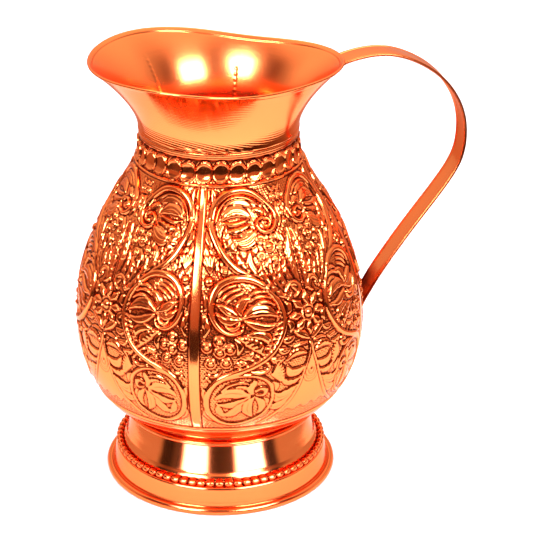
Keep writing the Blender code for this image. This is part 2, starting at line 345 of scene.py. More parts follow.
def draw_stem_feather(sheet):
    """Ribs inside the lower turn of the stem, and the leaves between them and the berries."""
    strokes(
        sheet,
        ([(17, 70.6), (20.4, 72), (24.2, 75.4), (26.6, 80.4)], (0.4, 2, 2, 0.4), 0.9, 0, 6),
        ([(20.6, 69.6), (24.8, 69.8), (28.6, 72.6), (29.4, 77)], (0.4, 1.5, 1.5, 0.3), 0.95, 0.35),
    )
    spine = [(35, 60), (35, 66.6), (33.4, 71.6), (30.8, 76.4), (27.2, 80.4), (22.6, 83.6), (16.8, 86.2)]
    feather(sheet, spine, count=13, length=4.6, lean=52, width=0.55, height=0.8)


def draw_bell(sheet):
    """The plain bell under the rosette, with leaves beside it."""
    strokes(
        sheet,
        ([(45.6, 84.2), (42.6, 82.4), (39.6, 82.6), (36.6, 85.2)], (0.4, 1.4, 1.4, 0.3), 0.75, 0, 5),
        ([(45, 90.4), (41.4, 92.4), (38.2, 91.6), (36.7, 88)], (0.4, 1.6, 1.6, 0.4), 0.8, 0.3),
        ([(43.8, 95.4), (39.8, 97.2), (36.4, 96.4), (34.2, 93)], (0.4, 1.2, 1.2, 0.4), 0.75, 0, 4),
        ([(42.4, 99.8), (38.2, 103.6), (33.8, 104.6), (30.9, 101.2)],
         (0.5, 2.5, 2.6, 0.8), 0.8, 0.35, 0, 3),
        ([(40.6, 103.8), (36.8, 108.4), (32.4, 109.8), (28.9, 107.8)], (0.5, 1.7, 1.8, 0.5), 0.75, 0.3),
    )
    fan(sheet, (29.6, 91), -12, 7.6, 110, 7, 0.8)
    stroke(sheet, BELL_EDGE, (0.5, 0.6, 0.7, 0.8, 0.7, 0.5), 0.75)
    edge = spline(BELL_EDGE)
    across = np.interp(sheet.down, edge[:, 1], edge[:, 0], left=99.0, right=99.0)
    bell = smoothstep((sheet.turn[None, :] - across[:, None] - 0.6) / 0.4)
    scallops = 1.2 * np.cos(np.radians(sheet.turn * 60.0))[None, :]
    plain = bell * (sheet.down[:, None] < BELL_FLOOR + scallops)
    sheet.height = sheet.height * (1 - plain) + 0.3 * plain
    sheet.ground *= 1.0 - plain
    ball(sheet, (HALF_PANEL, 94.0), 0.9, 0.9)
    for reach, low in ((2.4, 97), (3.4, 99.6)):
        drape = [(HALF_PANEL - reach, low - 4.0), (HALF_PANEL - 0.6 * reach, low - 0.8), (HALF_PANEL, low)]
        stroke(sheet, drape, (0.35, 0.4, 0.4), 0.55)
    incise(sheet, [(HALF_PANEL - 0.9, 82.0), (HALF_PANEL - 1.9, 90.0)], 0.3, 0.3)


def draw_bottom_scroll(sheet):
    """The scroll that ends the stem, round its tear-shaped petals."""
    strokes(
        sheet,
        ([(21.2, 100.4), (16.4, 98.6), (12, 98.6), (8.6, 101.4)], (0.5, 2.1, 2, 0.4), 0.85, 0.35),
        ([(21.2, 101.4), (17.4, 104.2), (13, 105.4), (8.8, 104.6)], (0.4, 1.6, 1.4, 0.3), 0.8, 0.3),
        ([(20.4, 103.4), (16.6, 108.4), (13.6, 111.4), (10.2, 110.6)], (0.4, 1.6, 1.5, 0.3), 0.8, 0.3),
        ([(22.2, 99.6), (21.4, 96.4), (22.6, 93.6), (22.4, 91.2)], (0.5, 1.3, 1.3, 0.2), 0.8, 0.3),
        ([(23.8, 98.2), (25.6, 97.2), (27.6, 98.6), (26.8, 100.8), (24.2, 100.6)],
         (0.9, 1.2, 1.1, 0.6), 0.85),
        ([(22.8, 101.6), (20.6, 106.2), (21, 110.6), (23, 114.2)], (0.4, 1.6, 1.6, 0.3), 0.85, 0.35),
        ([(23.8, 102), (26.2, 105.6), (26.6, 109.6), (25.2, 112.4)], (0.4, 1.2, 1.2, 0.3), 0.8, 0.3),
        ([(10.4, 97.4), (13, 94.4), (17.6, 93), (20.6, 94)], (0.3, 0.7, 0.7, 0.3), 0.65),
        ([(21.4, 88), (25, 89), (28.2, 87.8), (28.5, 84.9), (26.4, 83.9)],
         (0.5, 0.9, 0.9, 0.8, 0.4), 0.95),
    )
    ball(sheet, (25.3, 86.1), 0.9, 1)
    stroke(sheet, [(8.6, 93.6), (12.4, 90.6), (17.7, 89.2), (22.9, 90), (27, 92.4), (29.9, 96.6),
                   (30.8, 104.4)], (0.5, 0.9, 1, 1, 0.9, 0.6), 1)


def draw_main_stem(sheet):
    """The S stem that joins the top, middle and bottom scrolls."""
    stroke(sheet, [(5.7, 18.5), (7.2, 23), (9.7, 28), (12.7, 33), (16.7, 37.8), (20.7, 41.2), (24.7, 44),
                   (28.7, 47.3), (32.2, 51.5), (34.7, 56.5), (36, 62), (36, 67), (34.7, 71.6),
                   (32.2, 76.5), (28.7, 80.8), (23.7, 84.3), (18.7, 86.6), (13.7, 88.6), (9.5, 91.4),
                   (6.7, 95.2), (4.9, 100.5), (4.6, 106), (5.8, 111.2), (9, 115.6), (14, 118.4),
                   (20, 117.8), (25.6, 114.6), (29.4, 110), (30.8, 104.4)],
           (1.7, 1.8, 1.7, 1.6, 1.5, 1.45, 1.4, 1.3, 1.1, 1, 0.7), 1.2)
    incise(sheet, [(8.2, 20), (10.6, 27), (14.6, 33.6), (19, 38)], 0.25, 0.25)


def draw_spiral(sheet):
    """The middle spiral round its five-petalled leaf."""
    strokes(
        sheet,
        ([(22, 51.6), (25.6, 49.8), (30, 50.4)], (0.3, 0.95, 0.3), 0.85),
        ([(21.4, 54.4), (26.2, 51.9), (31.6, 53.4)], (0.3, 0.95, 0.3), 0.85),
        ([(23.4, 56), (28.2, 54.6), (33, 57)], (0.3, 0.95, 0.3), 0.85),
        ([(9.6, 51.4), (12.6, 47.8), (17.4, 46)], (0.3, 0.8, 0.3), 0.8),
        ([(11.2, 53), (14.4, 49.4), (19, 47.8)], (0.3, 0.8, 0.3), 0.8),
        ([(12.8, 54.6), (15.6, 51.6), (20, 49.8)], (0.3, 0.8, 0.3), 0.8),
        ([(20, 62.8), (24.6, 65.7), (29, 66.9), (32.8, 66)], (0.4, 1.4, 1.2, 0.3), 1, 0.3),
        ([(19.2, 61.4), (23, 58.8), (28, 58.6), (33.4, 62.4)], (0.4, 2, 1.9, 0.4), 1.2, 0.4),
        ([(18.4, 60), (18.2, 56.4), (20.4, 53.2), (23, 52.4)], (0.4, 1.5, 1.3, 0.3), 1.1, 0.3),
        ([(17.4, 60.8), (13.6, 58), (11.6, 56.4), (9, 55.2)], (0.5, 1.6, 1.3, 0.2), 1.2, 0.35),
        ([(17.4, 62.2), (13.4, 62.6), (11, 61.4), (9, 59)], (0.5, 1.5, 1.2, 0.2), 1.1, 0.3),
        ([(17.8, 63.2), (16.4, 65.8), (14, 66.3), (12, 64.4)], (0.5, 1.1, 1, 0.3), 1),
    )
    ball(sheet, (18.3, 61.6), 0.9, 1.3)
    stroke(sheet, [(28.7, 47.3), (24.7, 44.4), (19.7, 43), (14.7, 43.7), (10.7, 46), (8.2, 49.6),
                   (6.9, 54), (6.8, 58), (7.8, 62), (9.7, 65.4), (12.5, 67.9), (15.7, 68.4),
                   (18.2, 67.2), (18.9, 65)], (1.3, 1.6, 1.7, 1.7, 1.5, 1.3, 1, 0.7), 1.2)


def draw_band_side(sheet):
    """What stands between the plain band and the scrolls."""
    strokes(
        sheet,
        ([(6, 2), (6.9, 5), (6.2, 8.6)], (0.5, 1.5, 0.4), 0.8),
        ([(3.6, 2.4), (3.9, 5.4), (3.5, 9.4)], (0.3, 0.6, 0.2), 0.6),
    )
    fan(sheet, (6.3, 41), -92, 8.6, 74, 5, 1.1)
    ball(sheet, (5.8, 44.6), 2.1, 1.5)
    ball(sheet, (13.2, 39.6), 1.1, 1.1, ring=1.9)
    strokes(
        sheet,
        ([(10.8, 42.6), (9.6, 38.6), (10.2, 34.8)], (0.3, 0.9, 0.2), 0.7, 0, 3),
        ([(4.2, 70), (5.3, 66), (5.2, 61.6)], (0.3, 1, 0.2), 0.8, 0.3),
        ([(5, 88), (7, 89.4), (9.4, 88.4), (10.2, 86)], (0.3, 0.8, 0.8, 0.3), 0.7),
        ([(3.8, 92), (5.2, 90.4), (6.6, 93)], (0.3, 0.6, 0.2), 0.6),
    )


def draw_berries(sheet):
    """Ringed balls: a bunch beside the band, and a flower of them above the stem."""
    for turn, down, ring in ((10.0, 72.2, 2.5), (5.1, 75.2, 2.2), (13.7, 75.8, 2.3), (6.5, 82.9, 2.3),
                             (12.3, 82.4, 2.3), (10, 77.3, 2.5), (31.2, 26.2, 1.8), (38.2, 25.8, 1.5),
                             (30, 33.6, 1.7), (41, 31.2, 1.7), (37.3, 36.2, 1.9), (35, 29.6, 2.6)):
        ball(sheet, (turn, down), 0.52 * ring, 1.3, ring)


def draw_axis_column(sheet):
    """Beads, plumes and leaves on the rosette's axis, above the rosette."""
    ball(sheet, (46.2, 7.4), 0.7, 1, ring=1.7)
    for down, radius in ((11.6, 0.9), (15.8, 1.1), (20, 0.8)):
        ball(sheet, (HALF_PANEL, down), radius, 1.0)
    strokes(
        sheet,
        ([(44, 3), (46.5, 4.4), (HALF_PANEL, 3.2)], (0.4, 0.7, 0.4), 0.7),
        ([(44.6, 53.4), (41.9, 47), (40.5, 41.4), (41.4, 36.6)], (0.4, 1.4, 1.2, 0.3), 0.85, 0, 5),
        ([(39.6, 54), (36.2, 48.4), (33.9, 43.4), (33.4, 38.8)], (0.4, 1.2, 1.1, 0.3), 0.85, 0.2, 4),
        ([(40.2, 53), (38, 46.6), (37.2, 42.4), (38.4, 38.6)], (0.4, 1.2, 1.1, 0.3), 0.85, 0.2, 4),
        ([(38.6, 54.6), (35, 51.6), (32.6, 48.4), (31, 44.4)], (0.4, 1.2, 1.1, 0.3), 0.85, 0.2, 4),
    )
    stroke(sheet, [(46.6, 53), (45.3, 45), (44.9, 35), (46.6, 24)], (0.5, 1.5, 1.6, 0.3), 1.1, ribs=8,
           slant=1.2, rib_depth=0.85)
    stroke(sheet, [(38.4, 55), (39.2, 51.2), (42, 48.8), (44.8, 50.2), (45.2, 53.6), (43, 55.4)],
           (0.4, 1, 1.2, 1.1, 0.5), 1.1)


def draw_rosette(sheet):
    """Eight creased petals round a ringed ball."""
    centre = np.array([HALF_PANEL, 64.8])
    scale = float(np.interp(centre[1], sheet.down, sheet.scale[:, 0]))
    for angle in np.radians(np.arange(0, 360, 45)):
        way = np.array([np.cos(angle) / scale, np.sin(angle)])
        petal = [centre + way * radius for radius in (4.4, 7.4, 10.4)]
        stroke(sheet, petal, (0.5075, 1.45, 0.3625), 1.2, crease=0.3)
    ball(sheet, centre, 2.2, 1.7, ring=3.7)
    strokes(
        sheet,
        ([(47, 77.2), (44.8, 74.8), (42.8, 73.4), (40.2, 71.4)], (0.5, 1.4, 1.2, 0.2), 1.1, 0.35),
        ([(46.4, 79), (42.6, 78.8), (39, 80.2)], (0.4, 0.9, 0.2), 0.8),
    )


def draw_half_panel(mm_per_degree):
    """The whole half panel. What's drawn later laps what's drawn before it."""
    sheet = FlatSheet(HALF_PANEL + 0.5, RELIEF_TOP - 1.0, RELIEF_END + 3.0, mm_per_degree)
    for draw in (draw_foot_hatch, draw_filling, draw_top_scroll, draw_stem_leaves, draw_stem_feather,
                 draw_bell, draw_bottom_scroll, draw_main_stem, draw_spiral, draw_band_side, draw_berries,
                 draw_axis_column, draw_rosette):
        draw(sheet)
    return sheet


# ---------- mesh helpers


def round_axis(radius, height, angle):
    """Points at a radius and a height, turned round the jug's axis."""
    return np.stack(np.broadcast_arrays(radius * np.cos(angle), radius * np.sin(angle), height), -1)


def new_object(name, data):
    """An object in the scene."""
    piece = bpy.data.objects.new(name, data)
    bpy.context.scene.collection.objects.link(piece)
    return piece


def grid_object(name, points, capped=False):
    """A smooth mesh, facing out, from rows of points that are closed loops. The last row joins the first,
    or both are filled if it's capped. It carries its own flat layout for baking."""
    rows, columns = points.shape[:2]
    mesh = bpy.data.meshes.new(name)
    mesh.vertices.add(rows * columns)
    mesh.vertices.foreach_set("co", (points.reshape(-1, 3) * MM + AXIS).astype(np.float32).ravel())
    spans = rows - 1 if capped else rows
    r, c = np.meshgrid(np.arange(spans), np.arange(columns), indexing="ij")
    below, beside = (r + 1) % rows, (c + 1) % columns
    corners = ((r, c), (below, c), (below, beside), (r, beside))
    faces = np.stack([row * columns + column for row, column in corners], -1)
    steps = np.linalg.norm(np.roll(points, -1, axis=0) - points, axis=-1).mean(1)
    place = np.concatenate([[0.0], np.cumsum(steps[:spans])])
    place = place / place[-1]
    u = (np.stack([c, c, c + 1, c + 1], -1) / columns).ravel()
    v = np.stack([place[r], place[r + 1], place[r + 1], place[r]], -1).ravel()
    loops, starts = faces.ravel(), np.arange(spans * columns) * 4
    totals = np.full(len(starts), 4)
    if capped:
        turn = full_turn(columns)
        for end in (np.arange(columns)[::-1], (rows - 1) * columns + np.arange(columns)):
            starts = np.append(starts, len(loops))
            totals = np.append(totals, columns)
            loops = np.append(loops, end)
            u = np.append(u, 0.002 + 0.001 * np.cos(turn))
            v = np.append(v, 0.002 + 0.001 * np.sin(turn))
    mesh.loops.add(len(loops))
    mesh.loops.foreach_set("vertex_index", loops.astype(np.int32))
    mesh.polygons.add(len(starts))
    mesh.polygons.foreach_set("loop_start", starts.astype(np.int32))
    mesh.polygons.foreach_set("loop_total", totals.astype(np.int32))
    layer = mesh.uv_layers.new(name="OFBake")
    layer.data.foreach_set("uv", np.stack([u, v], -1).astype(np.float32).ravel())
    mesh.update(calc_edges=True)
    mesh.validate()
    mesh.shade_smooth()
    face_out(mesh)
    return new_object(name, mesh)


def face_out(mesh):
    """Turns a closed mesh's faces so that they point out of the solid: its volume is then positive."""
    mesh.calc_loop_triangles()
    corners = np.zeros(len(mesh.loop_triangles) * 3, np.int32)
    mesh.loop_triangles.foreach_get("vertices", corners)
    places = np.zeros(len(mesh.vertices) * 3, np.float32)
    mesh.vertices.foreach_get("co", places)
    a, b, c = np.moveaxis(places.reshape(-1, 3).astype(float)[corners.reshape(-1, 3)], 1, 0)
    if np.einsum("ij,ij->i", a, np.cross(b, c)).sum() < 0:
        mesh.flip_normals()


def resample(line, spacing):
    """Points evenly spaced along a line."""
    line = np.asarray(line, float)
    place = np.concatenate([[0.0], np.cumsum(np.linalg.norm(np.diff(line, axis=0), axis=1))])
    at = np.linspace(0.0, place[-1], int(round(place[-1] / spacing)) + 1)
    return np.stack([np.interp(at, place, line[:, i]) for i in (0, 1)], -1)


def line_normals(line):
    """Unit normals of a line in the plane, to the left of its way."""
    way = np.gradient(line, axis=0)
    way = way / np.linalg.norm(way, axis=1)[:, None]
    return np.stack([-way[:, 1], way[:, 0]], -1)


def round_edge(face, back, steps, way=1):
    """Points of a half circle that bends from the end of a face to its back. It's hollow if way is -1."""
    middle, arm = (face + back) / 2, (face - back) / 2
    out = np.stack([arm[..., 1], -arm[..., 0]], -1)
    turn = np.linspace(0.0, np.pi, steps)[1:-1].reshape(-1, *[1] * face.ndim)
    return middle + np.cos(turn) * arm + np.sin(turn) * out * way


def sheet_section(line, thickness, end_way=1):
    """A closed outline round a sheet whose outer face is the line: the sheet is on its right."""
    inner = line - line_normals(line) * thickness
    end, start = round_edge(line[-1], inner[-1], 7, end_way), round_edge(inner[0], line[0], 7)
    return np.vstack([line, end, inner[::-1], start])


def turned(name, section, steps=384):
    """A piece turned from a closed (radius, height) outline."""
    return grid_object(name, round_axis(section[:, :1], section[:, 1:], full_turn(steps)))


def point_attribute(piece, name, values):
    """Stores a number on each of a piece's points for its material to read."""
    attribute = piece.data.attributes.new(name, "FLOAT", "POINT")
    attribute.data.foreach_set("value", np.asarray(values, np.float32).ravel())


def finish_piece(piece, material, nodes):
    """Gives a piece its material and its place on the jug."""
    piece.data.materials.append(material)
    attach(piece, "root")
    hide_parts(*nodes)


# ---------- embossed body

BODY_LINE = [(38.3, 180.6), (37.9, 176.5), (38.1, 171.5), (38.9, 168.2), (40, 166.3), (41.6, 162),
             (45.7, 154), (50.9, 146), (57.4, 134), (63.2, 120), (67.4, 106), (69.4, 94), (70, 83),
             (69.2, 72), (66.8, 62), (63.2, 53.5), (59.4, 47), (56.3, 43.6), (51.5, 40.9), (46, 39.1),
             (41.2, 38.2)]
COLLAR_LINE = 166.1  # height of the line under the collar, where the pattern's count starts
BODY_TURNS = 1296  # mesh columns round the body
ROW = 0.38  # mm between the body mesh's rows
INNER_ROW = 4.0  # mm between the plain rows inside
LOBE_TOP, LOBE_END = -11.0, -0.6
LOBE_WIDE = 1.06  # a lobe's half width as a share of half the spacing
LOBE_EDGE = 0.93  # where a lobe's raised rim runs, as a share of the lobe
LOW_RELIEF = 82.0  # below this the pattern was driven less deep
TAB_HALF = 10.0  # mm round from the handle's middle where the body is left plain under its tab
TAB_LOW, TAB_HIGH = 63.0, 94.0  # heights of that plain place
# Raised and sunk lines round the body: place down it, height and width.
ROUND_LINES = ((0.0, 0.55, 0.55), (-0.9, -0.3, 0.4), (1.1, -0.3, 0.4), (RELIEF_END + 0.6, 0.45, 0.6),
               (RELIEF_END - 0.5, -0.3, 0.4), (RELIEF_END + 1.8, -0.2, 0.4))
TURNS = np.arange(BODY_TURNS) * 360.0 / BODY_TURNS  # degrees round from below the first plain band


def body_lines():
    """The body's outer line, and how far each of its points is down from the line under the collar."""
    line = resample(spline(BODY_LINE, 40), ROW)
    down = np.concatenate([[0.0], np.cumsum(np.linalg.norm(np.diff(line, axis=0), axis=1))])
    return line, down - np.interp(-COLLAR_LINE, -line[:, 1], down)


def soften(field, times):
    """Blurs a grid of heights down the rows and round the jug."""
    for _ in range(times):
        edged = np.vstack([field[:1], field, field[-1:]])
        field = (edged[:-2] + 2 * field + edged[2:]) / 4
    for _ in range(times):
        field = (np.roll(field, 1, 1) + 2 * field + np.roll(field, -1, 1)) / 4
    return field


def collar_height(down):
    """A row of dished lobes above the line under the collar. Each has a raised rim and laps the next."""
    place = (TURNS / (360.0 / COLLAR_LOBES))[None, :]
    middle, tall = (LOBE_TOP + LOBE_END) / 2, (LOBE_END - LOBE_TOP) / 2
    field = np.full((len(down), BODY_TURNS), -0.35)
    for step in (1, 0, -1):
        lobe = np.round(place) + step
        own = lobe % COLLAR_LOBES
        across = (place - lobe) * 2.0 - 0.1 * np.sin(3.1 * own)
        up = (down[:, None] - middle) / tall + 0.09 * np.sin(7.7 * own)
        reach = np.hypot((across + 0.12 * up) / LOBE_WIDE, up)
        upper_right = smoothstep(0.5 + 0.45 * (across - up))
        rim = (0.15 + 0.65 * upper_right) * peak(reach - LOBE_EDGE, 0.05 + 0.04 * upper_right)
        uneven = 0.1 * np.sin(5.3 * own + 2.3 * across + 1.7 * up) + 0.1 * np.sin(5.3 * own)
        dish = (0.4 + uneven) * (1.0 - np.clip(reach / LOBE_EDGE, 0.0, 1.0) ** 2)
        cover = smoothstep((1.03 - reach) / 0.06)
        groove = 0.45 * peak(np.maximum(reach - 1.02, 0.0), 0.08) * (1.0 - cover)
        field = field * (1.0 - cover) + (0.3 + rim - dish) * cover - groove
    inside_rows = smoothstep((down - LOBE_TOP + 1.6) / 1.0) * smoothstep((LOBE_END + 0.8 - down) / 0.8)
    return field * inside_rows[:, None]


def body_relief(line, down):
    """Heights in mm over the whole body, a row for each point of its line."""
    mm_per_degree = line[:, 0] * math.pi / 180
    sheet = draw_half_panel(lambda at: np.interp(at, down, mm_per_degree))
    quarter = TURNS % 90.0
    flat = np.where(quarter <= HALF_PANEL, quarter, (90.0 - quarter) * HALF_PANEL / NARROW_HALF)[None, :]
    # The chasing wanders a little from quarter to quarter, as it does when it's done by eye.
    round_jug, rows = np.radians(TURNS)[None, :], down[:, None]
    wander = np.sin(3 * round_jug + 0.045 * rows) + 0.6 * np.sin(7 * round_jug + 1.3)
    turn_at = flat + 0.5 * wander * np.sin(np.pi * np.clip(flat / HALF_PANEL, 0, 1))
    down_at = rows + 0.45 * np.sin(5 * round_jug + 0.03 * rows + 0.7)
    row = np.clip((down_at - sheet.down[0]) / (sheet.down[1] - sheet.down[0]), 0, len(sheet.down) - 1.001)
    column = np.clip(turn_at / (sheet.turn[1] - sheet.turn[0]), 0, len(sheet.turn) - 1.001)
    r, c = row.astype(int), column.astype(int)
    fr, fc = row - r, column - c

    def look(field):
        upper = field[r, c] * (1 - fc) + field[r, c + 1] * fc
        lower = field[r + 1, c] * (1 - fc) + field[r + 1, c + 1] * fc
        return upper * (1 - fr) + lower * fr

    band = smoothstep((flat - BAND_HALF) * np.interp(60.0, down, mm_per_degree) / 0.5)
    drawn = smoothstep((rows - 0.8) / 0.8) * smoothstep((RELIEF_END - rows) / 0.8) * band
    shallow = 1.0 - 0.4 * smoothstep((rows - LOW_RELIEF) / 14.0)
    height = soften(look(sheet.height), 1) * drawn * shallow
    height = height - look(sheet.ground) * drawn * ground_punches(TURNS, down, mm_per_degree)
    edge = (flat - BAND_HALF) * mm_per_degree[:, None]
    plain_rows = smoothstep((rows + 0.2) / 0.8) * smoothstep((RELIEF_END - rows) / 0.8)
    height = height + (0.35 * (1 - band) - 0.55 * peak(edge, 0.42)) * plain_rows
    for at, high, wide in ROUND_LINES:
        height = height + high * peak(rows - at, wide)
    spun = 0.05 * np.sin(5.3 * rows) * smoothstep((LOBE_TOP - 1.6 - rows) / 0.5)
    return height + spun + collar_height(down)


def patina_and_shade_darkness(height, down):
    """How dark each place is, 0 to 1, from how deep it lies beside what's round it: patina in the chased
    hollows, with painted shade added where the lighting shades the relief little, and a painted dark
    reflection above the lobes.
    """
    fine, broad = height - soften(height, 9), height - soften(height, 220)
    over_lobes = down - LOBE_TOP
    # Painted dark reflection on the plain strip just above the lobes.
    painted_reflection_above_lobes = 0.85 * smoothstep((0.8 - over_lobes) / 1.2) * smoothstep((over_lobes + 2.9) / 0.7)
    # The gain rises lower down, adding painted shade where the near floor lights the relief evenly.
    gain = 4.8 + 3.2 * smoothstep((down - 35.0) / 15.0) + 3.0 * smoothstep((down - LOW_RELIEF) / 14.0)
    return np.clip(-gain[:, None] * fine - 0.3 * broad - 0.16 + painted_reflection_above_lobes[:, None], 0.0, 1.0)


def make_body(material):
    line, down = body_lines()
    height = body_relief(line, down)
    world = np.radians(TURNS - BAND_TO_HANDLE)
    beside = np.abs(np.arctan2(np.sin(world), np.cos(world)))[None, :]
    level = line[:, 1:]
    under_tab = smoothstep((level - TAB_LOW) / 3) * smoothstep((TAB_HIGH - level) / 3)
    under_tab = under_tab * smoothstep((TAB_HALF - beside * line[:, :1]) / 2.0)
    height = height * (1.0 - under_tab) - 0.1 * under_tab
    out = line_normals(line)
    outside = line[:, None] + out[:, None] * height[:, :, None]
    inner_line = resample((line - out * SHEET)[::-1], INNER_ROW)
    rows = np.concatenate([outside, np.repeat(inner_line[:, None], BODY_TURNS, 1)])
    body = grid_object("embossed_body", round_axis(rows[..., 0], rows[..., 1], world))
    inside_tarnish = np.full((len(inner_line), BODY_TURNS), 0.15)
    point_attribute(body, "patina_and_painted_shade", np.vstack([patina_and_shade_darkness(height, down), inside_tarnish]))
    finish_piece(body, material, ["body_shell"])


# ---------- neck and lip

NECK_START = (38.4, 183.0)
NECK_RISE = (38.9, 192.0)
NECK_SWAGE = [(38.4, 183), (38.42, 181.5), (38.05, 181), (37.2, 180.75), (36.8, 179.8), (36.8, 172)]
LIP_BELLY, LIP_RISE = 0.45, 0.26  # how far back and down from the lip the flare starts to open
LIP_REACH = (55.1, 3.3, 4.4, -2.7, 1.0)  # the lip's outline as cosine terms of the angle from the spout
LIP_HEIGHT = (212.35, 2.6, 0.1, -0.9, -0.2)
NECK_TURNS = 512
SEAM_RADIUS = 38.0
HEM = 2.0  # mm of the lip that are folded over
FOLD_THICK = 0.24  # how much a folded edge adds to the sheet
SEAMS = ((66.0, 0.32), (125.5, 0.14))  # degrees from the handle to a brazed seam, and its height


def lip_point(terms, angle):
    return sum(term * np.cos(k * angle) for k, term in enumerate(terms))


def flare(angle, t):
    """Radius and height on the flare, at angles from the spout and shares of the way up to the lip."""
    reach, height = lip_point(LIP_REACH, angle), lip_point(LIP_HEIGHT, angle)
    belly = (reach - LIP_BELLY * (reach - NECK_START[0]), height - LIP_RISE * (height - NECK_START[1]))
    corners = (NECK_START, NECK_RISE, belly, (reach, height))
    weights = ((1 - t) ** 3, 3 * t * (1 - t) ** 2, 3 * t * t * (1 - t), t**3)
    return [sum(weight * corner[i] for weight, corner in zip(weights, corners)) for i in (0, 1)]


def make_neck(material):
    """The flared neck with its folded lip and brazed seams, down to where it's let into the body."""
    angle = full_turn(NECK_TURNS)[None, :]
    face = np.stack(flare(angle, np.linspace(1.0, 0.0, 150)[:, None]), -1)
    swage = spline(NECK_SWAGE, 10)[1:]
    face = np.concatenate([face, np.repeat(swage[:, None], NECK_TURNS, 1)])
    way = np.gradient(face, axis=0)
    inward = np.stack([way[..., 1], -way[..., 0]], -1) / np.linalg.norm(way, axis=-1)[..., None]
    place = np.cumsum(np.linalg.norm(np.diff(face, axis=0), axis=-1), 0)
    place = np.concatenate([np.zeros((1, NECK_TURNS)), place])
    thick = SHEET + FOLD_THICK * smoothstep((HEM - place) / 0.35) - 0.06 * peak(place - HEM - 0.25, 0.25)
    spun = 0.045 * np.sin(place * 5.3) * smoothstep((place - 3) / 4)
    spun = spun * (0.3 + 1.1 * smoothstep((place - 30) / 6))
    dashes = (0.75 + 0.25 * np.sin(place * 2.4)) * smoothstep((place - 12) / 6)
    for seam, high in SEAMS:
        arc = np.radians((np.degrees(angle) - seam) % 360.0 - 180.0) * SEAM_RADIUS
        thick = thick + high * peak(arc, 0.55) * dashes
    outside = face - inward * (0.16 * smoothstep((HEM - 0.1 - place) / 0.4) + spun)[..., None]
    inside = face + inward * thick[..., None]
    edge = round_edge(inside[0], outside[0], 9)
    rows = np.concatenate([outside, inside[::-1], edge])
    neck = grid_object("neck_and_lip", round_axis(-rows[..., 0], rows[..., 1], angle))
    haze = np.concatenate([np.zeros(len(outside)), np.ones(len(inside)), np.zeros(len(edge))])
    point_attribute(neck, "haze", np.repeat(haze, NECK_TURNS))
    finish_piece(neck, material, ["neck_lip"])


# ---------- foot and base

FOOT_LINE = [(40.4, 37.2), (43.4, 37.25), (44.6, 37), (45.15, 36.2), (45.15, 33), (45.35, 29),
             (46.1, 23.5), (46.9, 20.2), (47.5, 18.5), (48.3, 17.4), (48.85, 16.4), (49, 15), (49, 8.5)]
WAIST_CENTRE, WAIST_HALF = (46.7, 34.4), (1.35, 1.3)
BEAD_CENTRE, BEAD_FLAT = (50.9, 14.75), 0.94  # where the wire runs, and how flat its beads are
BEAD_STEPS, BEAD_SIDES = 24, 20  # mesh steps along a bead and round it
WIRE_HALF, BEAD_SWELL = 0.55, 1.2  # the wire between the beads, and how much a bead swells
BASE_SHELF = [(49.4, 13), (51.6, 13), (52.15, 12.75), (52.45, 12.2), (53.3, 8), (53.75, 5.9), (54, 4.9)]
BASE_ROLL, ROLL_RADIUS = (55.7, 1.9), 1.96  # the rolled edge's middle, round its wire
BASE_SHEET = 0.7
BOTTOM_TOP = [(0.05, 42.6), (15, 42.55), (30, 42.3), (41, 41.5), (45.2, 41.25), (47.6, 41.7), (48.6, 42.1)]
BOTTOM_UNDER = [(48.9, 41.3), (47, 40.6), (45.2, 40.2), (40, 40.4), (30, 41.2), (15, 41.6), (0.05, 41.7)]


def make_waist_ring(material):
    turn = full_turn(40)[:, None]
    section = WAIST_CENTRE + WAIST_HALF * np.hstack([np.cos(turn), np.sin(turn)])
    finish_piece(turned("waist_moulding", section), material, ["waist_ring"])


def make_foot(material):
    section = sheet_section(resample(spline(FOOT_LINE, 14), 0.5), FOOT_SHEET)
    finish_piece(turned("foot_pedestal", section), material, ["foot_wall"])


def make_beads(material):
    """The beaded wire: one tube that swells into a bead and narrows again, all the way round."""
    step = np.arange(BEADS * BEAD_STEPS)
    share = step / BEAD_STEPS % 1.0 * 2.0 - 1.0
    swell = np.sqrt(np.clip(1.0 - (share * 1.1) ** 2, 0, 1))
    wire = WIRE_HALF + BEAD_SWELL * swell
    turn = full_turn(BEAD_SIDES)[:, None]
    radius = BEAD_CENTRE[0] + wire * np.cos(turn)
    level = BEAD_CENTRE[1] + BEAD_FLAT * wire * np.sin(turn)
    beads = grid_object("beaded_ring", round_axis(radius, level, full_turn(len(step))))
    # Painted shade in the gaps between the beads, darkest where the wire is thinnest.
    point_attribute(beads, "patina_and_painted_shade", np.tile(np.clip(1.3 * (1.0 - swell), 0.0, 0.9), BEAD_SIDES))
    finish_piece(beads, material, ["bead_ring"])


def make_base(material):
    turn = np.radians(np.linspace(132.0, -150.0, 60))
    roll = BASE_ROLL + ROLL_RADIUS * np.stack([np.cos(turn), np.sin(turn)], -1)
    line = np.vstack([spline(BASE_SHELF, 14)[:-1], (54.15, 4.0), np.maximum(roll, 0.0)])
    base = turned("base_hoop", sheet_section(resample(line, 0.28), BASE_SHEET, end_way=-1), 448)
    finish_piece(base, material, ["base_band"])


def make_bottom(material):
    section = np.vstack([spline(BOTTOM_TOP, 12), spline(BOTTOM_UNDER, 12)])
    finish_piece(turned("bottom_disc", section, 192), material, ["body_bottom"])


# ---------- handle

STRAP_HALF = 7.0
STRAP_SHEET = 1.0
STRAP_HEM = 0.74  # where the folded edge starts, as a share of the half width
PAINTED_SHADOW_FROM = 0.83  # share of the strap's length where painted shadow begins, towards the tab on the belly
LIP_DISH, BELLY_DISH = 58.0, 70.8  # radii that the tabs are dished to
HANDLE_LINE = [(66.5, 211.4), (80, 212.4), (93.6, 208.6), (105.6, 201.1), (114.8, 190.7), (120.2, 178.2),
               (121.1, 164.8), (117.6, 152), (98.7, 125.2), (79.9, 98.4), (74.7, 89.6)]


